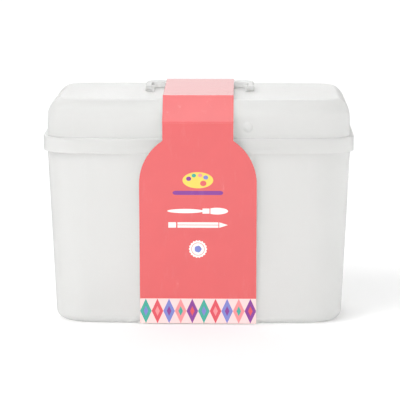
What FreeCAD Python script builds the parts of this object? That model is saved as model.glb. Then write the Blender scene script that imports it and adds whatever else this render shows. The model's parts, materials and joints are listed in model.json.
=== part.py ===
"""Art supply box: a tapered plastic tub with a hinged lid, a folding handle, a front latch and a card band.

Millimetres. The origin is the middle of the tub's flat bottom, +Z is up, +X runs along the width
and -Y is the front, where the latch is.
"""
import FreeCAD
import Part
import math
import os
from FreeCAD import Vector

# Plan of the case, over the lid's skirt
case_width = 328.0
case_depth = 195.0
corner_radius = 36.0
front_bow = 5.3
end_bow = 0.6

# Tub
rim_height = 197.5
wall = 2.0
rim_inset = 2.4
wall_draft = 0.0455
bottom_radius = 10.0
tub_corner_radius = 49.0

# Lid
seat_gap = 0.3
skirt_drop = 14.0
skirt_thickness = 1.4
skirt_edge_radius = 1.3
skirt_lip_radius = 0.8
lid_inset = 4.0
lid_wall_height = 19.5
lid_wall_lean = 0.4
shoulder_height = 19.8
shoulder_inset = 12.5
crease_radius = 5.0
top_plate_inset = 3.0
pocket_half_length = 80.0
pocket_depth = 0.5
pocket_margin = 5.3
stud_spacing = 103.4
stud_drop = 7.8
stud_radius = 5.2
stud_rise = 2.6

# Back hinge: two sets of three knuckles, each on one pin
hinge_spacing = 190.0
knuckle_radius = 4.0
knuckle_stand_off = 3.2
lid_knuckle_length = 26.0
tub_knuckle_length = 14.0
knuckle_gap = 0.3
hinge_pin_radius = 1.5
hinge_web_rise = 2.5
hinge_gusset = 12.0
hinge_leaf_rise = 9.0
hinge_leaf_slope = 5.0

# Fits of pins in their holes
press_clearance = 0.02
running_clearance = 0.06

# Front latch, behind the card band
latch_length = 58.0
latch_rise = 13.5
barrel_radius = 4.5
barrel_gap = 0.5
flap_thickness = 1.8
flap_tip = 4.0
flap_corner = 7.0
hook_reach = 1.8
hook_height = 4.0
hook_clearance = 0.4
catch_drop = 8.0
catch_height = 3.0
catch_slope = 3.0
catch_inset = 0.6
catch_length = 50.0
lug_thickness = 5.2
lug_radius = 4.7
latch_pin_radius = 1.6
latch_pin_depth = 11.0
latch_bore_spare = 0.5

# Carry handle, folded back on the lid
handle_length = 117.0
handle_arm_width = 6.8
handle_thickness = 6.5
handle_lift = 0.4
handle_pivot_y = -6.0
grip_width = 17.0
grip_reach = 50.5
handle_outer_corner = 12.0
handle_inner_corner = 7.0
handle_round = 2.0
post_thickness = 3.0
post_radius = 3.4
post_foot = 4.6
handle_pin_radius = 1.5
side_gap = 0.25

# Card band
card = 0.45
card_gap = 0.3
card_tub_gap = 0.4
card_floor_gap = 1.2
band_width = 73.9
panel_width = 122.8
panel_shoulder_radius = 55.5
panel_shoulder_height = 152.4
crease_above_pivot = 5.2
crease_cut_back = 1.1
top_crease_back = 2.0
top_crease_lift = 4.1
band_tail_gap = 2.0
band_tail_lean = 1.5
band_tail_lift = 0.6

# Heights and places that follow from the sizes above
half_width = case_width / 2
half_depth = case_depth / 2
flange_top = rim_height + seat_gap + wall
skirt_bottom = rim_height - skirt_drop
shoulder_start = flange_top + lid_wall_height
lid_top = shoulder_start + shoulder_height
crease_inset = lid_inset + lid_wall_lean + shoulder_inset
hinge_y = half_depth + knuckle_stand_off
hinge_z = skirt_bottom - knuckle_radius
catch_z = skirt_bottom - catch_drop
latch_y = -(half_depth - lid_inset + barrel_radius + barrel_gap)
latch_z = flange_top + latch_rise
handle_eye_radius = handle_thickness / 2
handle_z = lid_top + handle_lift + handle_eye_radius
grip_back = handle_pivot_y + grip_reach
grip_front = grip_back - grip_width
grip_top = lid_top + handle_lift + handle_thickness
up = Vector(0, 0, 1)
along_x = Vector(1, 0, 0)

# The plan's long sides and ends are shallow arcs, joined by tangent corner arcs
side_radius = (half_width ** 2 + front_bow ** 2) / (2 * front_bow)
end_radius = (half_depth ** 2 + end_bow ** 2) / (2 * end_bow)
side_centre = half_depth - side_radius
end_centre = half_width - end_radius


def plan_corner(radius):
    """Centre of the corner arc that lies inside, and tangent to, the back arc and the right end arc."""
    from_side = side_radius - radius
    from_end = end_radius - radius
    span = math.hypot(end_centre, side_centre)
    along = (from_side ** 2 - from_end ** 2 + span ** 2) / (2 * span)
    across = math.sqrt(from_side ** 2 - along ** 2)
    ux = end_centre / span
    uy = -side_centre / span
    return Vector(along * ux + across * uy, side_centre + along * uy - across * ux, 0)


def plan_arcs(radius):
    """The eight arcs of a plan with this corner radius, each as centre, radius, start angle and end angle."""
    corner = plan_corner(radius)
    end_angle = math.atan2(corner.y, corner.x - end_centre)
    side_angle = math.atan2(corner.y - side_centre, corner.x)
    arcs = []
    for side, turn in ((1, 0.0), (-1, math.pi)):
        mirrored = Vector(-corner.x, corner.y, 0)
        arcs.append((Vector(end_centre, 0, 0) * side, end_radius, turn - end_angle, turn + end_angle))
        arcs.append((corner * side, radius, turn + end_angle, turn + side_angle))
        back = turn + math.pi
        arcs.append((Vector(0, side_centre, 0) * side, side_radius, turn + side_angle, back - side_angle))
        arcs.append((mirrored * side, radius, back - side_angle, back - end_angle))
    return arcs


def plan_solid(inset, low, high, corner=corner_radius):
    """A straight prism over the plan, drawn in by inset all round."""
    edges = []
    for centre, radius, start, end in plan_arcs(corner):
        circle = Part.Circle(centre + up * low, up, radius - inset)
        edges.append(Part.Arc(circle, start, end).toShape())
    return Part.Face(Part.Wire(edges)).extrude(up * (high - low))


def section_face(section, radius):
    """A closed wall section as a face: points are (inset, height), and a pair of points is an arc."""
    def place(point):
        return Vector(radius - point[0], 0, point[1])

    here = section[-1][-1]
    edges = []
    for step in section:
        if len(step) == 2:
            edges.append(Part.Arc(place(here), place(step[0]), place(step[1])).toShape())
        else:
            edges.append(Part.makeLine(place(here), place(step[0])))
        here = step[-1]
    return Part.Face(Part.Wire(edges))


def revolved(section, centre, radius, start, end):
    """A wall section turned about the centre of one arc of the plan."""
    face = section_face(section, radius)
    face.rotate(Vector(), up, math.degrees(start))
    face.translate(centre)
    return face.revolve(centre, up, math.degrees(end - start))


def ring(section, corner):
    """A wall section carried right round the plan."""
    pieces = [revolved(section, *arc) for arc in plan_arcs(corner)]
    return pieces[0].multiFuse(pieces[1:])


def front_band(section, half_length):
    """A wall section carried along the middle of the bowed front."""
    half_angle = math.asin(half_length / side_radius)
    front = 1.5 * math.pi
    centre = Vector(0, -side_centre, 0)
    return revolved(section, centre, side_radius, front - half_angle, front + half_angle)


def block(x, y, z):
    """A box between pairs of limits."""
    return Part.makeBox(x[1] - x[0], y[1] - y[0], z[1] - z[0], Vector(x[0], y[0], z[0]))


def rod(radius, x, y, z):
    """A cylinder along X between the limits x."""
    return Part.makeCylinder(radius, x[1] - x[0], Vector(x[0], y, z), along_x)


def side_prism(points, x):
    """A polygon of (y, z) points carried along X between the limits x."""
    corners = [Vector(x[0], y, z) for y, z in points]
    return Part.Face(Part.makePolygon(corners + corners[:1])).extrude(along_x * (x[1] - x[0]))


def mirrored_x(limits):
    """The same limits on the other side of the middle plane."""
    return (-limits[1], -limits[0])


def both_sides(limits):
    """Limits on the right and on the left."""
    return (limits, mirrored_x(limits))


def one_solid(shape):
    """The single solid of a finished piece."""
    solids = shape.removeSplitter().Solids
    if len(solids) != 1:
        raise ValueError("a piece fell apart into %d solids" % len(solids))
    return solids[0]


def arc_points(centre, radius, first, last):
    """Middle and end of an arc that starts at angle first."""
    middle = (first + last) / 2
    return [(centre[0] + radius * math.cos(a), centre[1] + radius * math.sin(a)) for a in (middle, last)]


def tub_inset(height):
    """How far the tub's tapered outer face lies inside the skirt's plan."""
    return rim_inset + wall_draft * (rim_height - height)


def tub_section():
    """Floor edge, rounded bottom and tapered wall of the tub; also the inset where the floor begins."""
    lean = math.atan(wall_draft)
    skew = 1 / math.cos(lean)
    centre = (tub_inset(bottom_radius) + bottom_radius * skew, bottom_radius)
    inner_radius = bottom_radius - wall
    low = -math.pi / 2
    side = -math.pi + lean
    inner_start = (centre[0] + inner_radius * math.cos(side), centre[1] + inner_radius * math.sin(side))
    section = [
        arc_points(centre, bottom_radius, low, side),
        [(rim_inset, rim_height - wall / 2)],
        [(rim_inset + wall * skew / 2, rim_height), (rim_inset + wall * skew, rim_height - wall / 2)],
        [inner_start],
        arc_points(centre, inner_radius, side, low),
        [(centre[0], 0.0)],
    ]
    return section, centre[0]


def hinge_limits():
    """X limits of the pin, the lid's knuckle and the tub's two knuckles of the right-hand hinge."""
    middle = hinge_spacing / 2
    inner = lid_knuckle_length / 2
    next_to = inner + knuckle_gap
    outer = next_to + tub_knuckle_length
    pin = (middle - outer, middle + outer)
    lid_knuckle = (middle - inner, middle + inner)
    tub_knuckles = ((middle - outer, middle - next_to), (middle + next_to, middle + outer))
    return pin, lid_knuckle, tub_knuckles


def base_tub():
    section, floor_inset = tub_section()
    tub = ring(section, tub_corner_radius).fuse(plan_solid(floor_inset, 0, wall, tub_corner_radius))
    root = tub_inset(catch_z) + wall / 2
    catch = [
        [(root, catch_z)],
        [(catch_inset, catch_z)],
        [(catch_inset, catch_z + catch_height)],
        [(root, catch_z + catch_height + catch_slope)],
    ]
    tub = tub.fuse(front_band(catch, catch_length / 2))
    inside = plan_solid(tub_inset(hinge_z) + wall / 2, 0, rim_height)
    web_top = hinge_z + hinge_web_rise
    web_low = hinge_z - knuckle_radius
    web = [(0, web_top), (hinge_y, web_top), (hinge_y, web_low)]
    web += [(half_depth - tub_inset(web_low), web_low - hinge_gusset), (0, web_low - hinge_gusset)]
    for limits in hinge_limits()[2]:
        for x in both_sides(limits):
            knuckle = side_prism(web, x).cut(inside).fuse(rod(knuckle_radius, x, hinge_y, hinge_z))
            tub = tub.fuse(knuckle.cut(rod(hinge_pin_radius + press_clearance, x, hinge_y, hinge_z)))
    return one_solid(tub)


def lid_section():
    """Skirt, flange, wall and rounded shoulder of the lid; also the inset where the flat top begins."""
    low = (lid_inset + lid_wall_lean, shoulder_start)
    high = (crease_inset, lid_top)
    chord = math.hypot(high[0] - low[0], high[1] - low[1])
    ui = (high[0] - low[0]) / chord
    uz = (high[1] - low[1]) / chord
    turn = math.atan2(ui, uz) - math.atan2(lid_wall_lean, lid_wall_height)
    shoulder_radius = chord / (2 * math.sin(turn))
    depth = math.sqrt(shoulder_radius ** 2 - (chord / 2) ** 2)
    centre = ((low[0] + high[0]) / 2 + depth * uz, (low[1] + high[1]) / 2 - depth * ui)
    between = shoulder_radius - crease_radius
    crease_z = lid_top - crease_radius
    crease = (centre[0] - math.sqrt(between ** 2 - (crease_z - centre[1]) ** 2), crease_z)
    first = math.atan2(low[1] - centre[1], low[0] - centre[0])
    meet = math.atan2(crease[1] - centre[1], crease[0] - centre[0])
    level = math.pi / 2
    edge = (skirt_edge_radius, flange_top - skirt_edge_radius)
    lip = (skirt_lip_radius, skirt_bottom + skirt_lip_radius)
    plate = crease[0] + top_plate_inset
    ceiling = lid_top - wall
    web_under = flange_top - wall
    section = [
        [(0.0, edge[1])],
        arc_points(edge, skirt_edge_radius, math.pi, level),
        [(lid_inset, flange_top)],
        [low],
        arc_points(centre, shoulder_radius, first, meet),
        arc_points(crease, crease_radius, meet, level),
        [(plate, lid_top)],
        [(plate, ceiling)],
        [(crease[0], ceiling)],
        arc_points(crease, crease_radius - wall, level, meet),
        arc_points(centre, shoulder_radius - wall, meet, first),
        [(lid_inset + wall, web_under)],
        [(skirt_thickness, web_under)],
        [(skirt_thickness, skirt_bottom)],
        [(skirt_lip_radius, skirt_bottom)],
        arc_points(lip, skirt_lip_radius, -math.pi / 2, -math.pi),
    ]
    return section, plate


def lug_limits():
    """X limits of the right-hand latch lug."""
    inner = latch_length / 2 + side_gap
    return (inner, inner + lug_thickness)


def post_limits():
    """X limits of the right-hand handle post, which stands just inside the arm."""
    outer = handle_length / 2 - handle_arm_width - side_gap
    return (outer - post_thickness, outer)


def lid_hinge_leaf(x):
    """One moving knuckle with the leaf that carries it on the back of the skirt."""
    leaf_top = skirt_bottom + hinge_leaf_rise
    leaf = [(0, skirt_bottom), (hinge_y, skirt_bottom), (hinge_y, leaf_top - hinge_leaf_slope)]
    leaf += [(half_depth, leaf_top), (0, leaf_top)]
    inside = plan_solid(skirt_thickness / 2, skirt_bottom, flange_top)
    knuckle = side_prism(leaf, x).cut(inside)
    knuckle = knuckle.fuse(block(x, (hinge_y - knuckle_radius, hinge_y), (hinge_z, skirt_bottom)))
    knuckle = knuckle.fuse(rod(knuckle_radius, x, hinge_y, hinge_z))
    return knuckle.cut(rod(hinge_pin_radius + running_clearance, x, hinge_y, hinge_z))


def latch_lug(x):
    """One lug on the front of the lid that holds a latch pin."""
    inside = plan_solid(lid_inset + wall / 2, flange_top, lid_top)
    lug = block(x, (latch_y, 0), (latch_z - lug_radius, latch_z + lug_radius)).cut(inside)
    lug = lug.fuse(rod(lug_radius, x, latch_y, latch_z))
    return lug.cut(rod(latch_pin_radius + press_clearance, x, latch_y, latch_z))


def front_stud(side):
    """One low round stud on the lid's front beside the card; side is 1 for right, -1 for left."""
    ball = (stud_radius ** 2 + stud_rise ** 2) / (2 * stud_rise)
    x = stud_spacing / 2
    face = -side_centre - math.sqrt((side_radius - lid_inset) ** 2 - x ** 2)
    stud = Part.makeSphere(ball, Vector(side * x, face - stud_rise + ball, shoulder_start - stud_drop))
    return stud.cut(plan_solid(lid_inset + wall / 2, flange_top, lid_top))


def handle_post(x):
    """One post on the lid's top beside an arm of the handle."""
    foot = [(handle_pivot_y - post_foot, lid_top - wall / 2), (handle_pivot_y - post_radius, handle_z)]
    foot += [(2 * handle_pivot_y - y, z) for y, z in reversed(foot)]
    post = side_prism(foot, x).fuse(rod(post_radius, x, handle_pivot_y, handle_z))
    return post.cut(rod(handle_pin_radius + press_clearance, x, handle_pivot_y, handle_z))


def lid_shell():
    section, plate = lid_section()
    lid = ring(section, corner_radius).fuse(plan_solid(plate, lid_top - wall, lid_top))
    pocket = [
        [(-pocket_depth, skirt_bottom + pocket_margin)],
        [(pocket_depth, skirt_bottom + pocket_margin)],
        [(pocket_depth, flange_top - pocket_margin)],
        [(-pocket_depth, flange_top - pocket_margin)],
    ]
    lid = lid.cut(front_band(pocket, pocket_half_length))
    for x in both_sides(hinge_limits()[1]):
        lid = lid.fuse(lid_hinge_leaf(x))
    for x in both_sides(lug_limits()):
        lid = lid.fuse(latch_lug(x))
    for x in both_sides(post_limits()):
        lid = lid.fuse(handle_post(x))
    for side in (1, -1):
        lid = lid.fuse(front_stud(side))
    return one_solid(lid)


def plan_path(points):
    """A closed face in plan: a point is (x, y), and a corner that is rounded is (x, y, radius)."""
    count = len(points)
    edges = []
    previous_end = None
    first_start = None
    for index, corner in enumerate(points):
        here = Vector(corner[0], corner[1], 0)
        start, end = here, here
        if len(corner) == 3:
            back = Vector(*points[index - 1][:2], 0) - here
            ahead = Vector(*points[(index + 1) % count][:2], 0) - here
            start = here + back.normalize() * corner[2]
            end = here + ahead.normalize() * corner[2]
            middle = here + (back + ahead) * corner[2] * (1 - math.sqrt(0.5))
            edges.append(Part.Arc(start, middle, end).toShape())
        if previous_end is not None:
            edges.append(Part.makeLine(previous_end, start))
        else:
            first_start = start
        previous_end = end
    edges.append(Part.makeLine(previous_end, first_start))
    return Part.Face(Part.Wire(Part.__sortEdges__(edges)))


def carry_handle():
    outer = handle_length / 2
    inner = outer - handle_arm_width
    plan = [
        (outer, handle_pivot_y),
        (outer, grip_back, handle_outer_corner),
        (-outer, grip_back, handle_outer_corner),
        (-outer, handle_pivot_y),
        (-inner, handle_pivot_y),
        (-inner, grip_front, handle_inner_corner),
        (inner, grip_front, handle_inner_corner),
        (inner, handle_pivot_y),
    ]
    face = plan_path(plan)
    face.translate(up * (lid_top + handle_lift))
    bail = face.extrude(up * handle_thickness)
    rims = [edge for edge in bail.Edges if abs(edge.tangentAt(edge.FirstParameter).z) < 0.5
            and edge.BoundBox.YMax > handle_pivot_y + handle_eye_radius]
    bail = bail.makeFillet(handle_round, rims)
    for x in both_sides((inner, outer)):
        bail = bail.fuse(rod(handle_eye_radius, x, handle_pivot_y, handle_z))
        bail = bail.cut(rod(handle_pin_radius + running_clearance, x, handle_pivot_y, handle_z))
    return one_solid(bail)


def card_lean():
    """Angle of the latch's flap and the card's front panel, which stand on the barrel and the tub's foot."""
    foot_y = -(half_depth - tub_inset(bottom_radius)) - card_tub_gap
    drop = latch_z - bottom_radius
    back = foot_y - latch_y
    return math.atan2(back, drop) + math.asin((barrel_radius + card_gap) / math.hypot(back, drop))


lean = card_lean()


def on_latch(shape):
    """Place a shape, drawn upright with the latch's axis at the origin, on the leaning latch."""
    placed = shape.copy()
    placed.rotate(Vector(), along_x, math.degrees(lean))
    placed.translate(Vector(0, latch_y, latch_z))
    return placed


def upright(face, depth):
    """A face drawn in plan, stood up so that its Y runs up, and made as deep as depth towards the back."""
    solid = face.extrude(up * depth)
    solid.rotate(Vector(), along_x, 90)
    solid.translate(Vector(0, depth, 0))
    return solid


def front_latch():
    half = latch_length / 2
    hook_top = (latch_z - catch_z + hook_clearance) / math.cos(lean)
    hook_low = hook_top + hook_height
    flap_low = hook_low + flap_tip
    outline = [(-half, 0), (half, 0), (half, -flap_low, flap_corner), (-half, -flap_low, flap_corner)]
    flap = upright(plan_path(outline), flap_thickness)
    hook_half = catch_length / 2
    hook = block((-hook_half, hook_half), (0, flap_thickness + hook_reach), (-hook_low, -hook_top))
    flap = flap.fuse(hook)
    flap.translate(Vector(0, -barrel_radius, 0))
    latch = flap.fuse(rod(barrel_radius, (-half, half), 0, 0))
    bore = (half - latch_pin_depth - latch_bore_spare, half)
    for x in both_sides(bore):
        latch = latch.cut(rod(latch_pin_radius + running_clearance, x, 0, 0))
    return one_solid(on_latch(latch))


def hinge_pin(x):
    return rod(hinge_pin_radius, x, hinge_y, hinge_z)


def handle_pin():
    """The right-hand pin, through a post and an arm and flush with both."""
    return rod(handle_pin_radius, (post_limits()[0], handle_length / 2), handle_pivot_y, handle_z)


def latch_pin():
    """The right-hand pin, from the lug's outer face into the barrel."""
    tip = latch_length / 2 - latch_pin_depth
    return rod(latch_pin_radius, (tip, lug_limits()[1]), latch_y, latch_z)


def label_front_panel():
    half_band = band_width / 2
    half_panel = panel_width / 2
    stand_off = barrel_radius + card_gap + card
    drop = stand_off * math.sin(lean)
    top = crease_above_pivot - crease_cut_back
    side = (panel_shoulder_height - latch_z + drop) / math.cos(lean)
    bottom = (card_floor_gap - latch_z + drop) / math.cos(lean)
    centre = half_panel - panel_shoulder_radius
    neck_angle = math.acos((half_band - centre) / panel_shoulder_radius)
    neck = side + panel_shoulder_radius * math.sin(neck_angle)
    edges = []
    for sign in (1, -1):
        middle = Vector(sign * (centre + panel_shoulder_radius * math.cos(neck_angle / 2)),
                        side + panel_shoulder_radius * math.sin(neck_angle / 2), 0)
        outline = [(0, top), (half_band, top), (half_band, neck)]
        outline += [(half_panel, side), (half_panel, bottom), (0, bottom)]
        corners = [Vector(sign * x, y, 0) for x, y in outline]
        edges.append(Part.makeLine(corners[0], corners[1]))
        edges.append(Part.makeLine(corners[1], corners[2]))
        edges.append(Part.Arc(corners[2], middle, corners[3]).toShape())
        edges.append(Part.makeLine(corners[3], corners[4]))
        edges.append(Part.makeLine(corners[4], corners[5]))
    panel = upright(Part.Face(Part.Wire(Part.__sortEdges__(edges))), card)
    panel.translate(Vector(0, -stand_off, 0))
    return one_solid(on_latch(panel))


def card_strip(start, end):
    """A flat strip of card between two (y, z) points of its middle layer."""
    length = math.hypot(end[0] - start[0], end[1] - start[1])
    strip = block((-band_width / 2, band_width / 2), (0, length), (-card / 2, card / 2))
    strip.rotate(Vector(), along_x, math.degrees(math.atan2(end[1] - start[1], end[0] - start[0])))
    strip.translate(Vector(0, start[0], start[1]))
    return strip


def lower_crease():
    """The crease over the latch, as (y, z)."""
    stand_off = barrel_radius + card_gap + card / 2
    y = latch_y - stand_off * math.cos(lean) - crease_above_pivot * math.sin(lean)
    z = latch_z - stand_off * math.sin(lean) + crease_above_pivot * math.cos(lean)
    return (y, z)


def upper_crease():
    """The crease over the lid's front edge, as (y, z)."""
    return (crease_inset - half_depth + top_crease_back, lid_top + top_crease_lift)


def label_slope_panel():
    low = lower_crease()
    high = upper_crease()
    length = math.hypot(high[0] - low[0], high[1] - low[1])
    share = 1 - (card / 2 + card_gap) / length
    end = (low[0] + (high[0] - low[0]) * share, low[1] + (high[1] - low[1]) * share)
    return one_solid(card_strip(low, end))


def label_top_panel():
    crease = upper_crease()
    over_grip = grip_top + card_gap + card / 2
    rise = (over_grip - crease[1]) / (grip_front - crease[0])
    fold_y = grip_back + band_tail_gap
    fold = (fold_y, crease[1] + rise * (fold_y - crease[0]))
    tail = (fold_y + band_tail_lean, lid_top + band_tail_lift)
    x = (-band_width / 2, band_width / 2)
    panel = card_strip(crease, fold).fuse(card_strip(fold, tail))
    for y, z in (crease, fold):
        panel = panel.fuse(rod(card / 2, x, y, z))
    return one_solid(panel)


def other_side(shape):
    """The same piece on the left."""
    return one_solid(shape.mirror(Vector(), along_x))


right_pin = hinge_limits()[0]
parts = {
    "base_tub": base_tub(),
    "lid_shell": lid_shell(),
    "carry_handle": carry_handle(),
    "front_latch": front_latch(),
    "hinge_pin_right": hinge_pin(right_pin),
    "hinge_pin_left": hinge_pin(mirrored_x(right_pin)),
    "handle_pin_right": handle_pin(),
    "handle_pin_left": other_side(handle_pin()),
    "latch_pin_right": latch_pin(),
    "latch_pin_left": other_side(latch_pin()),
    "label_front_panel": label_front_panel(),
    "label_slope_panel": label_slope_panel(),
    "label_top_panel": label_top_panel(),
}

os.makedirs("parts", exist_ok=True)
for name, shape in parts.items():
    shape.exportStep("parts/%s.step" % name)
    box = shape.BoundBox
    print("%-18s valid %s volume %9.1f  X %7.2f %7.2f  Y %7.2f %7.2f  Z %7.2f %7.2f" % (
        name, shape.isValid(), shape.Volume, box.XMin, box.XMax, box.YMin, box.YMax, box.ZMin, box.ZMax))
joint_axes = {
    "lid_hinge": (hinge_y, hinge_z),
    "latch_swing": (latch_y, latch_z),
    "handle_fold": (handle_pivot_y, handle_z),
    "card_crease": upper_crease(),
}
for name, (y, z) in joint_axes.items():
    print("%-18s axis along X at y %.4f z %.4f" % (name, y, z))
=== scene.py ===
# %% [markdown]
# A frosted art supply box with a printed card sleeve.
#
# The box is moulded from milky polypropylene: a drafted tub, a shouldered lid on two hinges, a latch that
# swings over the rim and a flat handle that folds down on the lid. A band of coated card runs over the
# handle and down the front. The moulded pieces come ready from the construction model, so this lesson
# gives them their plastic, models the card band as real thin board, and sets up the camera and the
# studio.

# %% Load the construction model
import json
import math

import bmesh
import bpy
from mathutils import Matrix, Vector


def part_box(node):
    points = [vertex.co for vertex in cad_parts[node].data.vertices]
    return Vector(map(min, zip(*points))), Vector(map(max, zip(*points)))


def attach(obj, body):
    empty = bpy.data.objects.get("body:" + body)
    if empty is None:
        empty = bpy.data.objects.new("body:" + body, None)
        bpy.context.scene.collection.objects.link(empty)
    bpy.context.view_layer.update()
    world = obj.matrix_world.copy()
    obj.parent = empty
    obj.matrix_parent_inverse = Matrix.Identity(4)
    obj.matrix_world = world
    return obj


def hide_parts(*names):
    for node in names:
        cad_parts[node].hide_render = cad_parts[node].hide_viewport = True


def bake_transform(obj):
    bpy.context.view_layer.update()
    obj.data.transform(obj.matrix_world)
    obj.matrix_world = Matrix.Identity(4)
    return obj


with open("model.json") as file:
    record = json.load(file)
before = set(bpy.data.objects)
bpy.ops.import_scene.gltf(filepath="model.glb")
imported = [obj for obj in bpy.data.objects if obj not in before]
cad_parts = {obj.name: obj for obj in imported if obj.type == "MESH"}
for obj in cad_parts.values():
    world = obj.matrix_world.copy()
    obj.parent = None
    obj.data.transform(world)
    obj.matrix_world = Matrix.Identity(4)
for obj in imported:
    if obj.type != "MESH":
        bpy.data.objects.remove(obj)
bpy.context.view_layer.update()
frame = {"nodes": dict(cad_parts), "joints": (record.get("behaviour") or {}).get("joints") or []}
nodes = frame["nodes"]
joints = {joint["name"]: joint for joint in frame["joints"]}
print("pieces in the model:", ", ".join(sorted(nodes)))

# %% [markdown]
# Operators act on whatever is selected, so every step starts from a clean selection. Vertices and edges
# are then picked in code by where they are, which keeps each step the same on every run.

# %% Helpers for selecting and finishing
MM = 0.001
SAME_PLACE = 0.01 * MM


def start_clean():
    """Leave edit mode and deselect everything."""
    if bpy.context.object and bpy.context.object.mode != "OBJECT":
        bpy.ops.object.mode_set(mode="OBJECT")
    bpy.ops.object.select_all(action="DESELECT")


def pick(piece, kind, test):
    """In edit mode, select the vertices or edges that pass the test, and count them."""
    bpy.ops.mesh.select_mode(type=kind)
    bpy.ops.mesh.select_all(action="DESELECT")
    mesh = bmesh.from_edit_mesh(piece.data)
    items = {"VERT": mesh.verts, "EDGE": mesh.edges}[kind]
    for item in items:
        if test(item):
            item.select_set(True)
    mesh.select_flush_mode()
    bmesh.update_edit_mesh(piece.data)
    return sum(item.select for item in items)


def apply_modifier(piece, kind, **settings):
    """Add a modifier, set it up and apply it."""
    modifier = piece.modifiers.new(kind.title(), kind)
    for name, value in settings.items():
        setattr(modifier, name, value)
    bpy.ops.object.modifier_apply(modifier=modifier.name)


print("helpers ready")

# %% [markdown]
# The photograph looks almost straight at the front, a little from above, through a long lens. The camera
# stands about 2.3 m away, and the box sits a hair left of the middle of the frame.

# %% Camera
CAMERA_PLACE = Vector((0.045, -2.2975, 0.4964))
CAMERA_TARGET = Vector((0.0003, 0.0, 0.1194))
CAMERA_LENS = 192.2
SENSOR_WIDTH = 36.0
CAMERA_REACH = 100.0


def aim(thing, place, target):
    """Turn a camera or a light that stands at a place towards a target."""
    thing.rotation_euler = (target - place).to_track_quat("-Z", "Y").to_euler()


start_clean()
bpy.ops.object.camera_add(location=CAMERA_PLACE)
camera = bpy.context.object
camera.name = "photo_camera"
camera.data.lens = CAMERA_LENS
camera.data.sensor_width = SENSOR_WIDTH
camera.data.clip_end = CAMERA_REACH
aim(camera, CAMERA_PLACE, CAMERA_TARGET)
bpy.context.scene.camera = camera
print("camera looks down by %.1f degrees" % (90 - math.degrees(camera.rotation_euler.x)))

# %% [markdown]
# A product photograph on white stands on a seamless pale floor. A curved backdrop would do as well, but
# with the camera looking down a large plane fills the frame. It glows a little, as a lit studio table
# does, so the floor close to the box stays white.

# %% Floor
FLOOR_SIZE = 60.0
FLOOR_COLOUR = (0.97, 0.97, 0.97, 1.0)
FLOOR_ROUGHNESS = 0.9
FLOOR_GLOW = 0.075


def new_material(name):
    """A material with nodes, its node tree and its shader."""
    material = bpy.data.materials.new(name)
    material.use_nodes = True
    return material, material.node_tree, material.node_tree.nodes["Principled BSDF"]


start_clean()
bpy.ops.mesh.primitive_plane_add(size=FLOOR_SIZE)
floor = bpy.context.object
floor.name = "studio_floor"
paint, _, shader = new_material("pale_floor")
shader.inputs["Base Color"].default_value = FLOOR_COLOUR
shader.inputs["Roughness"].default_value = FLOOR_ROUGHNESS
shader.inputs["Emission Strength"].default_value = FLOOR_GLOW
floor.data.materials.append(paint)
print("floor ready, %.0f m wide" % FLOOR_SIZE)

# %% [markdown]
# The light is soft and comes from all round. A far light from the front left gives the floor its faint
# shadow on the right, and two from behind make the lid's top paler than its shoulder and put a sheen on
# the top of the card. A low and very broad light from the front fills the lines under the skirt, and
# three small lamps balance left, right and the card's slope. Pale plastic on a pale floor passes light on
# many times, so the light paths are long.

# %% Light
SKY_STRENGTH = 0.64
SKY_COLOUR = (1.0, 1.0, 1.0, 1.0)
BOUNCES = 24
LIGHT_TARGET = Vector((0, 0, 0.12))
# Each light has its kind, its place, its size (metres across, or radians for a far light) and its power.
LIGHTS = {
    "left_lamp": ("AREA", Vector((-0.55, -0.6, 0.45)), 0.6, 0.95),
    "right_lamp": ("AREA", Vector((0.95, 0.05, 0.16)), 0.3, 1.33),
    "slope_lamp": ("AREA", Vector((0.0, -0.21, 0.62)), 0.22, 0.2),
    "front_light": ("SUN", Vector((-0.15, -1.0, 0.15)), 1.2, 0.8),
    "front_left_light": ("SUN", Vector((-1.15, -0.95, 1.65)), 0.6, 0.8),
    "back_light": ("SUN", Vector((-0.1, 1.0, 0.85)), 0.4, 0.64),
    "low_back_light": ("SUN", Vector((-0.2, 1.0, 0.5)), 0.6, 0.1),
}

for name, (kind, place, size, power) in LIGHTS.items():
    start_clean()
    bpy.ops.object.light_add(type=kind, location=place)
    light = bpy.context.object
    light.name = name
    if kind == "SUN":
        light.data.angle = size
    else:
        light.data.shape = "DISK"
        light.data.size = size
    light.data.energy = power
    aim(light, place, LIGHT_TARGET)

sky = bpy.data.worlds.new("studio_sky")
sky.use_nodes = True
sky.node_tree.nodes["Background"].inputs["Color"].default_value = SKY_COLOUR
sky.node_tree.nodes["Background"].inputs["Strength"].default_value = SKY_STRENGTH
bpy.context.scene.world = sky
bpy.context.scene.view_settings.view_transform = "Standard"
for limit in ("max_bounces", "diffuse_bounces", "transmission_bounces"):
    setattr(bpy.context.scene.cycles, limit, BOUNCES)
print("sky and", len(LIGHTS), "lights ready")

# %% [markdown]
# Materials are built from nodes. A few short helpers keep the wiring readable: one adds a node with its
# settings and inputs, one does arithmetic, one mixes two colours by a mask, and two make and place a
# group.

# %% Helpers for shader nodes
NUMBER = "NodeSocketFloat"
VECTOR = "NodeSocketVector"


def add_node(tree, kind, settings=None, inputs=None):
    """Add a node; each input is a value to set or a socket to link."""
    made = tree.nodes.new(kind)
    for name, value in (settings or {}).items():
        setattr(made, name, value)
    for name, value in (inputs or {}).items():
        if isinstance(value, bpy.types.NodeSocket):
            tree.links.new(value, made.inputs[name])
        else:
            made.inputs[name].default_value = value
    return made


def calc(tree, operation, *values, clamp=False):
    """One arithmetic step on numbers or sockets."""
    settings = {"operation": operation, "use_clamp": clamp}
    return add_node(tree, "ShaderNodeMath", settings, dict(enumerate(values))).outputs[0]


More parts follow.
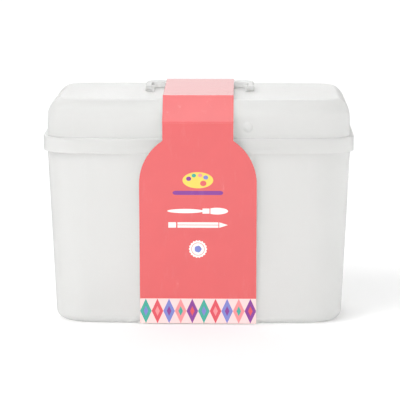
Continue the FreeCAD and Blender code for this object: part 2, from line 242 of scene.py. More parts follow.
def mix_colour(tree, mask, under, over):
    """The colour under, covered by the colour over where the mask is 1."""
    mixed = add_node(tree, "ShaderNodeMix", {"data_type": "RGBA"}, {"Factor": mask})
    for name, value in (("A", under), ("B", over)):
        socket = next(s for s in mixed.inputs if s.name == name and s.type == "RGBA")
        if isinstance(value, bpy.types.NodeSocket):
            tree.links.new(value, socket)
        else:
            socket.default_value = (*value, 1.0)
    return next(s for s in mixed.outputs if s.type == "RGBA")


def new_group(name, inputs, outputs):
    """A shader group with named inputs, each with a default, and named outputs."""
    tree = bpy.data.node_groups.new(name, "ShaderNodeTree")
    for label, kind, value in inputs:
        socket = tree.interface.new_socket(label, in_out="INPUT", socket_type=kind)
        if value is not None:
            socket.default_value = value
    for label, kind in outputs:
        tree.interface.new_socket(label, in_out="OUTPUT", socket_type=kind)
    return tree, tree.nodes.new("NodeGroupInput").outputs, tree.nodes.new("NodeGroupOutput").inputs


def use_group(tree, group, **inputs):
    """Place a group and give its outputs; underscores in the names stand for spaces."""
    values = {name.replace("_", " "): value for name, value in inputs.items()}
    return add_node(tree, "ShaderNodeGroup", {"node_tree": group}, values).outputs


print("node helpers ready")

# %% [markdown]
# Patterns start from where a point lies on its piece. Noise gives clouds and grain, stretching the place
# draws the noise out along an axis, and a range turns a soft cloud into clear patches.

# %% Helpers for patterns


def on_piece(tree):
    """Where a point lies on its piece."""
    return add_node(tree, "ShaderNodeTexCoord").outputs["Object"]


def noise(tree, place, scale, detail, roughness=0.5):
    """A cloud of values between 0 and 1."""
    inputs = {"Vector": place, "Scale": scale, "Detail": detail, "Roughness": roughness}
    return add_node(tree, "ShaderNodeTexNoise", inputs=inputs).outputs["Fac"]


def stretched(tree, place, scale):
    """The place, with each axis multiplied by its own scale."""
    return add_node(tree, "ShaderNodeVectorMath", {"operation": "MULTIPLY"}, {0: place, 1: scale}).outputs[0]


def between(tree, value, low, high):
    """0 up to the low value, 1 from the high value on, and an even rise between them."""
    inputs = {"Value": value, "From Min": low, "From Max": high}
    return add_node(tree, "ShaderNodeMapRange", inputs=inputs).outputs[0]


def add_grain(tree, shader, height, strength, depth):
    """A very fine relief on the surface."""
    inputs = {"Strength": strength, "Distance": depth, "Height": height}
    bump = add_node(tree, "ShaderNodeBump", inputs=inputs)
    tree.links.new(bump.outputs[0], shader.inputs["Normal"])


print("pattern helpers ready")

# %% [markdown]
# Every moulded piece shares the same small irregularities: soft clouds where the melt was thicker, fine
# sparkle from the eroded mould, and a few upright scuffs. Each material could have its own noise, but one
# group makes all three from the place on the piece, and the card uses it too with finer scales.

# %% Group: moulded surface
SCUFF_STRETCH = (1.0, 1.0, 0.25)
SCUFF_FROM = 0.56
SCUFF_TO = 0.74

moulded, given, made = new_group(
    "moulded_surface",
    [("Place", VECTOR, None), ("Cloud Scale", NUMBER, 14.0), ("Grain Scale", NUMBER, 1400.0),
     ("Scuff Scale", NUMBER, 60.0)],
    [("Cloud", NUMBER), ("Grain", NUMBER), ("Scuff", NUMBER)])
cloud = noise(moulded, given["Place"], given["Cloud Scale"], detail=3.0, roughness=0.55)
grain = noise(moulded, given["Place"], given["Grain Scale"], detail=2.0, roughness=0.6)
upright = stretched(moulded, given["Place"], SCUFF_STRETCH)
scuff = noise(moulded, upright, given["Scuff Scale"], detail=6.0, roughness=0.7)
moulded.links.new(cloud, made["Cloud"])
moulded.links.new(grain, made["Grain"])
moulded.links.new(between(moulded, scuff, SCUFF_FROM, SCUFF_TO), made["Scuff"])
print("group moulded_surface has", len(moulded.nodes), "nodes")

# %% [markdown]
# On the plastic the edges are painted paler: a painted highlight that stands in for the light that thin
# edges of milky plastic pass. The edges of printed card wear to white. A bevelled normal differs from the
# true one only near an edge, so their difference is an edge mask. Painting the edges by hand would do too,
# but this follows any shape.

# %% Group: edge mask
BEVEL_SAMPLES = 4

edge_mask, given, made = new_group(
    "edge_mask", [("Width", NUMBER, 1.0 * MM), ("Strength", NUMBER, 2.0)], [("Edge", NUMBER)])
rounded = add_node(edge_mask, "ShaderNodeBevel", {"samples": BEVEL_SAMPLES}, {"Radius": given["Width"]})
true_normal = add_node(edge_mask, "ShaderNodeNewGeometry").outputs["Normal"]
alike = add_node(edge_mask, "ShaderNodeVectorMath", {"operation": "DOT_PRODUCT"},
                 {0: rounded.outputs[0], 1: true_normal})
turned = calc(edge_mask, "SUBTRACT", 1.0, alike.outputs["Value"], clamp=True)
edge_mask.links.new(calc(edge_mask, "MULTIPLY", turned, given["Strength"], clamp=True), made["Edge"])
print("group edge_mask has", len(edge_mask.nodes), "nodes")

# %% [markdown]
# The case itself is milky polypropylene. Much of the light that falls on a wall passes through it and
# comes out softened on the other side. Scattering inside the wall could show that too, but a share of rough
# transmission is simpler to set: it is nearly two thirds of the shader, and the rest is a pale satin
# surface. Clouds vary the colour, the edges are painted paler as a painted highlight, scuffs vary the
# gloss, and the grain gives a very fine bump.

# %% Frosted plastic
MILKY = (0.970, 0.970, 0.963)
MILKY_THICK = (0.952, 0.952, 0.943)
# The painted highlight: the colour that the edges are mixed towards, and how strongly.
MILKY_PAINTED_HIGHLIGHT = (1.0, 1.0, 1.0)
CLOUD_FROM = 0.3
CLOUD_TO = 0.7
PAINTED_HIGHLIGHT_STRENGTH = 1.6
PAINTED_HIGHLIGHT_SHARE = 0.6
PLASTIC_ROUGHNESS = 0.5
SCUFF_ROUGHNESS = 0.08
CLOUD_ROUGHNESS = 0.06
PLASTIC_GRAIN = 0.12
PLASTIC_GRAIN_DEPTH = 0.2 * MM
LIGHT_THROUGH = 0.64
PLASTIC_IOR = 1.49
PLASTIC_SPECULAR = 0.2
CASE_HIGHLIGHT_WIDTH = 1.2 * MM
PIN_HIGHLIGHT_WIDTH = 0.5 * MM


def plastic(name, highlight_width):
    """Frosted, milky plastic with a painted highlight along its edges, of the given width."""
    material, tree, shader = new_material(name)
    surface = use_group(tree, moulded, Place=on_piece(tree))
    edge = use_group(tree, edge_mask, Width=highlight_width, Strength=PAINTED_HIGHLIGHT_STRENGTH)["Edge"]
    clouded = between(tree, surface["Cloud"], CLOUD_FROM, CLOUD_TO)
    colour = mix_colour(tree, clouded, MILKY_THICK, MILKY)
    # Painted highlight: the edges are mixed towards white, in place of light shining through thin plastic.
    colour = mix_colour(tree, calc(tree, "MULTIPLY", edge, PAINTED_HIGHLIGHT_SHARE), colour, MILKY_PAINTED_HIGHLIGHT)
    tree.links.new(colour, shader.inputs["Base Color"])
    rough = calc(tree, "MULTIPLY_ADD", surface["Scuff"], SCUFF_ROUGHNESS, PLASTIC_ROUGHNESS)
    rough = calc(tree, "MULTIPLY_ADD", surface["Cloud"], CLOUD_ROUGHNESS, rough)
    tree.links.new(rough, shader.inputs["Roughness"])
    add_grain(tree, shader, surface["Grain"], PLASTIC_GRAIN, PLASTIC_GRAIN_DEPTH)
    shader.inputs["Transmission Weight"].default_value = LIGHT_THROUGH
    shader.inputs["IOR"].default_value = PLASTIC_IOR
    shader.inputs["Specular IOR Level"].default_value = PLASTIC_SPECULAR
    return material


frosted = plastic("frosted_plastic", CASE_HIGHLIGHT_WIDTH)
pin_plastic = plastic("pin_plastic", PIN_HIGHLIGHT_WIDTH)
print("plastics ready:", frosted.name, pin_plastic.name)

# %% [markdown]
# The two hinge pins are drawn steel wire: a metal whose fine lines run along the pin. The lines are far
# too fine to be modelled, so a noise that is drawn out along X varies the colour and the gloss.

# %% Steel wire
STEEL_DARK = (0.42, 0.42, 0.43)
STEEL_LIGHT = (0.62, 0.62, 0.63)
DRAWN_SCALE = (60.0, 3000.0, 3000.0)
STEEL_ROUGHNESS = 0.22
DRAWN_ROUGHNESS = 0.2

steel, tree, shader = new_material("drawn_steel")
drawn = noise(tree, stretched(tree, on_piece(tree), DRAWN_SCALE), scale=1.0, detail=3.0)
tree.links.new(mix_colour(tree, drawn, STEEL_DARK, STEEL_LIGHT), shader.inputs["Base Color"])
rough = calc(tree, "MULTIPLY_ADD", drawn, DRAWN_ROUGHNESS, STEEL_ROUGHNESS)
tree.links.new(rough, shader.inputs["Roughness"])
shader.inputs["Metallic"].default_value = 1.0
print("steel wire ready")

# %% [markdown]
# The moulded pieces and the pins keep the shapes of the construction model. Only the material in their
# slots changes: plastic for the case, the handle, the latch and the small pins, and steel for the hinge
# pins.

# %% Dress the moulded pieces
finishes = {
    "base_tub": frosted, "lid_shell": frosted, "carry_handle": frosted, "front_latch": frosted,
    "latch_pin_left": pin_plastic, "latch_pin_right": pin_plastic,
    "handle_pin_left": pin_plastic, "handle_pin_right": pin_plastic,
    "hinge_pin_left": steel, "hinge_pin_right": steel,
}
for name, material in finishes.items():
    piece = nodes[name]
    if not piece.material_slots:
        piece.data.materials.append(material)
    for slot in piece.material_slots:
        slot.material = material
print("dressed", len(finishes), "pieces")

# %% [markdown]
# The card band. It is one strip of coated board, printed outside and plain inside, scored where it turns
# over the lid. It could be bent from one outline, but it is made as three stretches, and the front panel
# moves with the latch. The front panel leans on the latch, so its lean is measured from the construction
# model's own panel: the box of a leaning board gives its length and lean together, found in a few rounds.

# %% Measure the card
CARD = 0.45 * MM
CARD_GAP = 0.3 * MM
BARREL_RADIUS = 4.5 * MM
CREASE_RISE = 5.2 * MM
CREASE_LIP = 1.1 * MM
LEAN_ROUNDS = 8

latch_axis = Vector(joints["latch_swing"]["pos_m"])
panel_low, panel_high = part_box("label_front_panel")
panel_size = panel_high - panel_low
lean = 0.0
for _ in range(LEAN_ROUNDS):
    length = (panel_size.z - CARD * math.sin(lean)) / math.cos(lean)
    lean = math.asin((panel_size.y - CARD * math.cos(lean)) / length)
stand_off = BARREL_RADIUS + CARD_GAP + CARD / 2
panel_top = CREASE_RISE - CREASE_LIP
panel_bottom = panel_top - length
print("card leans by %.2f degrees, front panel %.1f mm long" % (math.degrees(lean), length / MM))


def on_latch(along):
    """The point of the card's middle layer that far up the front panel from the latch's axis."""
    return latch_axis + Vector((0, -stand_off * math.cos(lean) - along * math.sin(lean),
                                -stand_off * math.sin(lean) + along * math.cos(lean)))


print("top edge of the front panel at", tuple(round(value, 5) for value in on_latch(panel_top)))

# %% [markdown]
# The print is worked out in the shader, from where a point lies on the panel. It could be cut as thin
# pieces, but ink has no thickness. Five small groups give the shapes that all the motifs are made of: an
# oval, a bar, a taper, a diamond and a rosette. Each returns a mask with a clean edge, and inks are then
# laid over the coral ground one after another.

# %% Groups: printed shapes
INK_EDGE = 0.08 * MM
SCALLOP = 0.05


def shape_group(name, inputs, formula):
    """A mask group: the formula gives how far inside the shape a point is, in metres."""
    sockets = [("Place", VECTOR, None)] + [(label, NUMBER, 0.0) for label in inputs]
    tree, given, made = new_group(name, sockets, [("Mask", NUMBER)])
    axes = add_node(tree, "ShaderNodeSeparateXYZ", inputs={"Vector": given["Place"]}).outputs
    across = calc(tree, "SUBTRACT", axes["X"], given["X"])
    above = calc(tree, "SUBTRACT", axes["Z"], given["Z"])
    depth = formula(tree, across, above, given)
    tree.links.new(calc(tree, "MULTIPLY_ADD", depth, 1 / INK_EDGE, 0.5, clamp=True), made["Mask"])
    return tree


def reach(tree, wide, high):
    """The distance of a point from the middle."""
    squares = calc(tree, "ADD", calc(tree, "MULTIPLY", wide, wide), calc(tree, "MULTIPLY", high, high))
    return calc(tree, "SQRT", squares)


def oval_depth(tree, across, above, given):
    wide = calc(tree, "DIVIDE", across, given["Half Width"])
    high = calc(tree, "DIVIDE", above, given["Half Height"])
    return calc(tree, "MULTIPLY", calc(tree, "SUBTRACT", 1.0, reach(tree, wide, high)), given["Half Height"])


def bar_depth(tree, across, above, given):
    wide = calc(tree, "SUBTRACT", given["Half Width"], calc(tree, "ABSOLUTE", across))
    high = calc(tree, "SUBTRACT", given["Half Height"], calc(tree, "ABSOLUTE", above))
    return calc(tree, "MINIMUM", wide, high)


def taper_depth(tree, across, above, given):
    share = calc(tree, "DIVIDE", across, given["Length"])
    high = calc(tree, "MULTIPLY", calc(tree, "SUBTRACT", 1.0, share), given["Half Height"])
    inside = calc(tree, "SUBTRACT", high, calc(tree, "ABSOLUTE", above))
    return calc(tree, "MINIMUM", inside, across)


def diamond_depth(tree, across, above, given):
    wide = calc(tree, "DIVIDE", calc(tree, "ABSOLUTE", across), given["Half Width"])
    high = calc(tree, "DIVIDE", calc(tree, "ABSOLUTE", above), given["Half Height"])
    inside = calc(tree, "SUBTRACT", 1.0, calc(tree, "ADD", wide, high))
    return calc(tree, "MULTIPLY", inside, given["Half Width"])


def rosette_depth(tree, across, above, given):
    turns = calc(tree, "MULTIPLY", calc(tree, "ARCTAN2", above, across), given["Petals"])
    swell = calc(tree, "MULTIPLY_ADD", calc(tree, "COSINE", turns), SCALLOP, 1.0)
    outline = calc(tree, "MULTIPLY", swell, given["Radius"])
    return calc(tree, "SUBTRACT", outline, reach(tree, across, above))


oval = shape_group("printed_oval", ["X", "Z", "Half Width", "Half Height"], oval_depth)
bar = shape_group("printed_bar", ["X", "Z", "Half Width", "Half Height"], bar_depth)
diamond = shape_group("printed_diamond", ["X", "Z", "Half Width", "Half Height"], diamond_depth)
taper = shape_group("printed_taper", ["X", "Z", "Length", "Half Height"], taper_depth)
rosette = shape_group("printed_rosette", ["X", "Z", "Radius", "Petals"], rosette_depth)
print("shape groups:", oval.name, bar.name, taper.name, diamond.name, rosette.name)

# %% [markdown]
# The board's printed face is coral ink under a clear coat. The ink is faintly mottled, a few scuffs
# lighten it, and the edges are worn to white. The coat could be a second skin over the card, but the
# shader's own coat gives the same smooth sheen at a low angle.

# %% Coated card


def srgb(red, green, blue):
    """A screen colour, 0 to 255, as the linear values that shaders use."""
    def linear(value):
        value /= 255
        return value / 12.92 if value <= 0.04045 else ((value + 0.055) / 1.055) ** 2.4
    return (linear(red), linear(green), linear(blue))


CORAL = srgb(223, 94, 96)
WHITE = srgb(252, 246, 242)
CARD_SCALES = {"Cloud_Scale": 40.0, "Grain_Scale": 2600.0, "Scuff_Scale": 120.0}
INK_MOTTLE = 0.04
SCUFF_SHARE = 0.03
WORN_WIDTH = 0.15 * MM
WORN_STRENGTH = 1.5
WORN_SHARE = 0.55
CARD_ROUGHNESS = 0.2
CARD_SCUFF_ROUGHNESS = 0.1
CARD_GRAIN = 0.02
CARD_GRAIN_DEPTH = 0.1 * MM
CARD_IOR = 1.5
COAT_WEIGHT = 0.6
COAT_ROUGHNESS = 0.1


def coated_card(name, artwork):
    """Printed, coated board: artwork(tree, place, ground) lays the inks over the ground colour."""
    material, tree, shader = new_material(name)
    place = on_piece(tree)
    surface = use_group(tree, moulded, Place=place, **CARD_SCALES)
    worn = use_group(tree, edge_mask, Width=WORN_WIDTH, Strength=WORN_STRENGTH)["Edge"]
    darker = [value * (1 - INK_MOTTLE) for value in CORAL]
    lighter = [value * (1 + INK_MOTTLE) for value in CORAL]
    colour = artwork(tree, place, mix_colour(tree, surface["Cloud"], darker, lighter))
    colour = mix_colour(tree, calc(tree, "MULTIPLY", surface["Scuff"], SCUFF_SHARE), colour, WHITE)
    colour = mix_colour(tree, calc(tree, "MULTIPLY", worn, WORN_SHARE), colour, WHITE)
    tree.links.new(colour, shader.inputs["Base Color"])
    rough = calc(tree, "MULTIPLY_ADD", surface["Scuff"], CARD_SCUFF_ROUGHNESS, CARD_ROUGHNESS)
    tree.links.new(rough, shader.inputs["Roughness"])
    add_grain(tree, shader, surface["Grain"], CARD_GRAIN, CARD_GRAIN_DEPTH)
    shader.inputs["IOR"].default_value = CARD_IOR
    shader.inputs["Coat Weight"].default_value = COAT_WEIGHT
    shader.inputs["Coat Roughness"].default_value = COAT_ROUGHNESS
    return material


plain_print = coated_card("coral_print", lambda tree, place, ground: ground)
print("plain print has", len(plain_print.node_tree.nodes), "nodes")

# %% [markdown]
# The inside of the band and every cut edge show the bare board: matt, off-white and fibrous. Fibres could
# be scattered over it as hair, but they are too small to tell apart, so the same surface group serves,
# with scales so fine that its clouds become fibres.

# %% Bare board
BOARD_DARK = srgb(214, 208, 200)
BOARD_LIGHT = srgb(246, 242, 236)
BOARD_SCALES = {"Cloud_Scale": 300.0, "Grain_Scale": 3000.0, "Scuff_Scale": 500.0}
BOARD_ROUGHNESS = 0.75
FIBRE_ROUGHNESS = 0.15
BOARD_GRAIN = 0.2
BOARD_GRAIN_DEPTH = 0.1 * MM

board, tree, shader = new_material("bare_board")
fibres = use_group(tree, moulded, Place=on_piece(tree), **BOARD_SCALES)
tree.links.new(mix_colour(tree, fibres["Cloud"], BOARD_DARK, BOARD_LIGHT), shader.inputs["Base Color"])
rough = calc(tree, "MULTIPLY_ADD", fibres["Grain"], FIBRE_ROUGHNESS, BOARD_ROUGHNESS)
tree.links.new(rough, shader.inputs["Roughness"])
add_grain(tree, shader, fibres["Grain"], BOARD_GRAIN, BOARD_GRAIN_DEPTH)
print("bare board ready")

# %% [markdown]
# The front panel's print is a simple workshop design: a palette over a painted stroke, a brush and a
# pencil, a scalloped disc, and a border of harlequin diamonds along the foot. All places and sizes of the
# print are in millimetres, because that is how a printer's sheet is drawn.

# %% Inks
YELLOW = srgb(240, 214, 92)
PURPLE = srgb(132, 52, 150)
TEAL = srgb(56, 170, 152)
PERIWINKLE = srgb(122, 132, 206)
PINK = srgb(240, 146, 150)
ROSE = srgb(222, 78, 92)
PALE_PINK = srgb(250, 216, 214)


class Sheet:
    """A print in the making: the colour so far, which each ink covers where its shape lies."""

    def __init__(self, tree, place, ground):
        self.tree = tree
        self.place = place
        self.colour = ground

    def ink(self, shade, shape, x, z, place=None, **sides):
        """Lay one shape with its middle at x and z; all but a count of petals is in millimetres."""
        sizes = {name: value if name == "Petals" else value * MM for name, value in sides.items()}
        laid = use_group(self.tree, shape, Place=place or self.place, X=x * MM, Z=z * MM, **sizes)
        self.colour = mix_colour(self.tree, laid["Mask"], self.colour, shade)

    def ink_row(self, z, shapes):
        """Lay ovals and bars at one height; each is its shade, shape, x, half width and half height."""
        for shade, shape, x, half_width, half_height in shapes:
            self.ink(shade, shape, x, z, Half_Width=half_width, Half_Height=half_height)


print("inks ready")

# %% [markdown]
# The motifs are drawn as they would be cut from paper: big plain shapes first, small ones on top, and the
# ground colour again where a gap or a hole shows. The palette comes first, over a painted stroke.

# %% Motif: palette and stroke
PALETTE_Z = 156.5
PALETTE_HALF_WIDTH = 16.0
PALETTE_HALF_HEIGHT = 8.6
# Each well has its place from the palette's middle, its half height and its paint; the last one is the
# thumb hole.
WELLS = (
    (-9.6, 1.6, 2.3, PURPLE), (-4.2, 5.0, 2.0, TEAL), (2.4, 5.2, 2.0, PINK), (8.2, 3.0, 2.2, PERIWINKLE),
    (5.6, -3.4, 2.9, CORAL),
)
WELL_STRETCH = 1.15
STROKE_Z = 143.0
STROKE_HALF_LENGTH = 23.0
STROKE_HALF_HEIGHT = 2.2
STROKE_END = 3.4


def print_palette(sheet):
    """An oval with four wells of paint and a thumb hole, over a stroke with rounded ends."""
    sheet.ink(YELLOW, oval, 0.0, PALETTE_Z, Half_Width=PALETTE_HALF_WIDTH, Half_Height=PALETTE_HALF_HEIGHT)
    for x, z, half, paint in WELLS:
        sheet.ink(paint, oval, x, PALETTE_Z + z, Half_Width=half * WELL_STRETCH, Half_Height=half)
    sheet.ink_row(STROKE_Z, (
        (PURPLE, bar, 0.0, STROKE_HALF_LENGTH, STROKE_HALF_HEIGHT),
        (PURPLE, oval, -STROKE_HALF_LENGTH, STROKE_END, STROKE_HALF_HEIGHT),
        (PURPLE, oval, STROKE_HALF_LENGTH, STROKE_END, STROKE_HALF_HEIGHT),
    ))


print("palette at", PALETTE_Z, "mm and stroke at", STROKE_Z, "mm")

# %% [markdown]
# The brush and the pencil are a few bars and ovals in a row. The disc is a scalloped rosette with a thin
# ring and a small flower in its middle.

# %% Motif: brush, pencil and disc
BRUSH_Z = 123.5
BRUSH_HANDLE = (WHITE, oval, -13.0, 19.0, 2.3)
BRUSH_FERRULE = (WHITE, bar, 9.4, 4.6, 2.7)
BRUSH_BRISTLES = (WHITE, oval, 20.0, 11.5, 3.6)
BRUSH_GAP = (CORAL, bar, 12.6, 0.5, 4.0)
PENCIL_Z = 108.5
PENCIL_HALF = 2.9
PENCIL_CAP = (WHITE, bar, -27.0, 4.0, PENCIL_HALF)
PENCIL_BODY = (WHITE, bar, 0.0, 21.4, PENCIL_HALF)
PENCIL_LINE = (CORAL, bar, 0.0, 21.4, 0.3)
PENCIL_TIP_X = 22.4
PENCIL_TIP_LENGTH = 9.0
DISC_Z = 82.5
DISC_RADIUS = 9.2
DISC_PETALS = 18.0
DISC_RING = (CORAL, oval, 0.0, 7.0, 7.0)
DISC_INSIDE = (WHITE, oval, 0.0, 6.5, 6.5)
FLOWER_RADIUS = 3.6
FLOWER_PETALS = 5.0


def print_tools(sheet):
    """A brush, a pencil with a pointed tip, and the disc below them."""
    sheet.ink_row(BRUSH_Z, (BRUSH_HANDLE, BRUSH_FERRULE, BRUSH_BRISTLES, BRUSH_GAP))
    sheet.ink_row(PENCIL_Z, (PENCIL_CAP, PENCIL_BODY, PENCIL_LINE))
    sheet.ink(WHITE, taper, PENCIL_TIP_X, PENCIL_Z, Length=PENCIL_TIP_LENGTH, Half_Height=PENCIL_HALF)
    sheet.ink(WHITE, rosette, 0.0, DISC_Z, Radius=DISC_RADIUS, Petals=DISC_PETALS)
    sheet.ink_row(DISC_Z, (DISC_RING, DISC_INSIDE))
    sheet.ink(PERIWINKLE, rosette, 0.0, DISC_Z, Radius=FLOWER_RADIUS, Petals=FLOWER_PETALS)


print("brush at", BRUSH_Z, "mm, pencil at", PENCIL_Z, "mm and disc at", DISC_Z, "mm")

# %% [markdown]
# The border repeats five colours of diamond across the panel. Ten separate shapes would do, but wrapping
# the place along X lets one shape of each colour come back by itself.

# %% Border and front print
PANEL_WIDTH = 122.8 * MM
BORDER_Z = 14.8
BORDER_HALF_HEIGHT = 13.6
BORDER_HALF_WIDTH = 70.0
DIAMONDS = 10
DIAMOND_PITCH = PANEL_WIDTH / MM / DIAMONDS
DIAMOND_COLOURS = (TEAL, ROSE, PERIWINKLE, PINK, PURPLE)
HEART_SHARE = 0.4
HEART_SHIFT = 2


def repeated(tree, place, first, pitch):
    """The place, with X wrapped so that a motif round X = 0 lies at first and at every pitch from there."""
    axes = add_node(tree, "ShaderNodeSeparateXYZ", inputs={"Vector": place}).outputs
    wrapped = calc(tree, "WRAP", calc(tree, "SUBTRACT", axes["X"], first), pitch / 2, -pitch / 2)
    inputs = {"X": wrapped, "Y": axes["Y"], "Z": axes["Z"]}
    return add_node(tree, "ShaderNodeCombineXYZ", inputs=inputs).outputs[0]


def print_border(sheet):
    """A pale band along the foot, with diamonds that each have a heart of another colour."""
    sheet.ink(PALE_PINK, bar, 0.0, BORDER_Z, Half_Width=BORDER_HALF_WIDTH, Half_Height=BORDER_HALF_HEIGHT)
    count = len(DIAMOND_COLOURS)
    for number, shade in enumerate(DIAMOND_COLOURS):
        first = (number + 0.5) * DIAMOND_PITCH * MM
        place = repeated(sheet.tree, sheet.place, first, count * DIAMOND_PITCH * MM)
        heart = DIAMOND_COLOURS[(number + HEART_SHIFT) % count]
        for colour, size in ((shade, 1.0), (heart, HEART_SHARE)):
            sheet.ink(colour, diamond, 0.0, BORDER_Z, place=place, Half_Width=DIAMOND_PITCH / 2 * size,
                      Half_Height=BORDER_HALF_HEIGHT * size)


def panel_artwork(tree, place, ground):
    """The whole print of the front panel."""
    sheet = Sheet(tree, place, ground)
    print_palette(sheet)
    print_tools(sheet)
    print_border(sheet)
    return sheet.colour


front_print = coated_card("front_print", panel_artwork)
print("front print has", len(front_print.node_tree.nodes), "nodes")

# %% [markdown]
# The front panel starts as a plane. Its outline could be typed in as points, but operators keep the arcs
# true: its two upper corners are rounded with a vertex bevel, the dome is cut off where it meets the
# neck, and the cut edge is extruded up to the crease. The shoulder's height is measured on the card's
# outer face, which lies lower than the latch's axis by the drop, because the card leans.

# %% Front panel
BAND_WIDTH = 73.9 * MM
SHOULDER_RADIUS = 55.5 * MM
SHOULDER_HEIGHT = 152.4 * MM
SHOULDER_STEPS = 20

drop = (stand_off + CARD / 2) * math.sin(lean)
shoulder = (SHOULDER_HEIGHT - latch_axis.z + drop) / math.cos(lean)
dome = shoulder + SHOULDER_RADIUS
half_way = (panel_bottom + dome) / 2
start_clean()
bpy.ops.mesh.primitive_plane_add(size=1.0, location=(0, -stand_off, half_way), rotation=(math.pi / 2, 0, 0))
panel = bpy.context.object
panel.name = "card_front"
panel.scale = (PANEL_WIDTH, dome - panel_bottom, 1.0)
bpy.ops.object.transform_apply(location=True, rotation=True, scale=True)
bpy.ops.object.mode_set(mode="EDIT")
pick(panel, "VERT", lambda corner: corner.co.z > half_way)
bpy.ops.mesh.bevel(offset=SHOULDER_RADIUS, segments=SHOULDER_STEPS, affect="VERTICES", clamp_overlap=False)
arc_middle = PANEL_WIDTH / 2 - SHOULDER_RADIUS
neck = shoulder + math.sqrt(SHOULDER_RADIUS ** 2 - (BAND_WIDTH / 2 - arc_middle) ** 2)
bpy.ops.mesh.select_all(action="SELECT")
bpy.ops.mesh.bisect(plane_co=(0, 0, neck), plane_no=(0, 0, 1), clear_outer=True)
found = pick(panel, "EDGE", lambda edge: all(abs(end.co.z - neck) < SAME_PLACE for end in edge.verts))
bpy.ops.mesh.extrude_region_move(TRANSFORM_OT_translate={"value": (0, 0, panel_top - neck)})
bpy.ops.object.mode_set(mode="OBJECT")
widths = sorted({round(abs(corner.co.x) / MM, 2) for corner in panel.data.vertices})
print("edges at the neck:", found, "half widths from", widths[0], "to", widths[-1], "mm")

# %% [markdown]
# The board gets its thickness. Extruding would do, but Solidify keeps the given face in the middle. The
# board is printed on one side only, so each face then takes the print or the bare board by the way it
# faces, and last the upright panel is turned to its lean round the latch's axis.

# %% Card thickness, print and place
FACING = 0.9


def print_outside(piece, finish, is_outside):
    """Print on the outer face only: the back and the cut edges are bare board."""
    piece.data.materials.append(finish)
    piece.data.materials.append(board)
    for face in piece.data.polygons:
        face.material_index = 0 if is_outside(face) else 1


def faces_front(face):
    """True on a face that looks to the front."""
    return face.normal.y < -FACING


apply_modifier(panel, "SOLIDIFY", thickness=CARD, offset=0.0)
print_outside(panel, front_print, faces_front)
panel.rotation_euler = (lean, 0, 0)
panel.location = latch_axis
bpy.ops.object.transform_apply(location=True, rotation=True, scale=True)
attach(panel, "latch")
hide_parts("label_front_panel")
print("front panel has", len(panel.data.polygons), "faces")

# %% [markdown]
# The two upper stretches follow a path seen from the side. A flat section could be swept along a curve,
# but an edge as wide as the band, extruded from point to point, keeps the scored turns crisp. The turns
# get a small bevel, and Solidify gives the thickness.

# %% Helper for band strips
SIDEWAYS = 0.5
UPWARDS = 0.05


def edge_middle(edge):
    """The point half way along an edge."""
    return (edge.verts[0].co + edge.verts[1].co) / 2


def band_strip(name, path, turns):
    """A strip through the (y, z) points of its middle layer; turns gives the bevel at a point's number."""
    start_clean()
    bpy.ops.mesh.primitive_plane_add(size=BAND_WIDTH)
    strip = bpy.context.object
    strip.name = name
    bpy.ops.object.mode_set(mode="EDIT")
    pick(strip, "VERT", lambda corner: corner.co.y > 0)
    bpy.ops.mesh.delete(type="VERT")
    bpy.ops.mesh.select_all(action="SELECT")
    bpy.ops.transform.translate(value=Vector((0, *path[0])) + Vector((0, BAND_WIDTH / 2, 0)))
    for here, there in zip(path, path[1:]):
        step = (0, there[0] - here[0], there[1] - here[1])
        bpy.ops.mesh.extrude_region_move(TRANSFORM_OT_translate={"value": step})
    for number, (width, steps) in turns.items():
        corner = Vector((0, *path[number]))
        pick(strip, "EDGE", lambda edge: (edge_middle(edge) - corner).length < SAME_PLACE)
        bpy.ops.mesh.bevel(offset=width, segments=steps, affect="EDGES", clamp_overlap=False)
    mesh = bmesh.from_edit_mesh(strip.data)
    if sum((face.normal for face in mesh.faces), Vector()).z < 0:
        bpy.ops.mesh.select_all(action="SELECT")
        bpy.ops.mesh.flip_normals()
    bpy.ops.object.mode_set(mode="OBJECT")
    apply_modifier(strip, "SOLIDIFY", thickness=CARD, offset=0.0)
    return strip


def faces_up(face):
    """True on the printed side of a stretch that lies flat or leans, and of the tail behind the grip."""
    return abs(face.normal.x) < SIDEWAYS and face.normal.z > UPWARDS


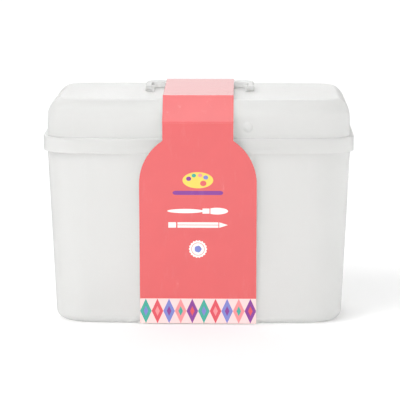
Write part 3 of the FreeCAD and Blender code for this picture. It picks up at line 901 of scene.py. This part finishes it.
def faces_up_or_front(face):
    """The same, and true on the short stretch that stands upright above the latch too."""
    return faces_up(face) or faces_front(face)


print("strips are", round(BAND_WIDTH / MM, 1), "mm wide")

# %% [markdown]
# The slope climbs from the latch to the upper crease of the card.

# %% Band up the slope
SEAM = 0.6 * MM
LATCH_TURN = (0.9 * MM, 4)

top_joint = on_latch(panel_top)
lower_crease = on_latch(CREASE_RISE)
upper_crease = Vector(joints["card_crease"]["pos_m"])
slope_way = (upper_crease - lower_crease).normalized()
slope_end = upper_crease - slope_way * SEAM
slope_points = (top_joint, lower_crease, lower_crease.lerp(slope_end, 0.5), slope_end)
slope = band_strip("card_slope", [(point.y, point.z) for point in slope_points], {1: LATCH_TURN})
print_outside(slope, plain_print, faces_up_or_front)
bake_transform(slope)
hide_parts("label_slope_panel")
print("slope strip has", len(slope.data.polygons), "faces")

# %% [markdown]
# The last stretch lies over the grip of the handle and turns down behind it.

# %% Band over the handle
GRIP_WIDTH = 17.0 * MM
TAIL_GAP = 2.0 * MM
TAIL_LEAN = 1.5 * MM
TAIL_TURN = (1.6 * MM, 5)
CREASE_TURN = (0.35 * MM, 3)

grip_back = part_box("carry_handle")[1].y
tongue_low, tongue_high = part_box("label_top_panel")
fold = Vector((0, grip_back + TAIL_GAP, tongue_high.z - CARD / 2))
over_grip = upper_crease.lerp(fold, 1 - (GRIP_WIDTH + TAIL_GAP) / (fold.y - upper_crease.y))
tail_end = Vector((0, fold.y + TAIL_LEAN, tongue_low.z + CARD / 2))
tongue_points = (slope_end, upper_crease, over_grip, fold, tail_end)
tongue = band_strip("card_tongue_top", [(point.y, point.z) for point in tongue_points],
                    {3: TAIL_TURN, 1: CREASE_TURN})
print_outside(tongue, plain_print, faces_up)
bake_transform(tongue)
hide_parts("label_top_panel")
print("tongue has", len(tongue.data.polygons), "faces")
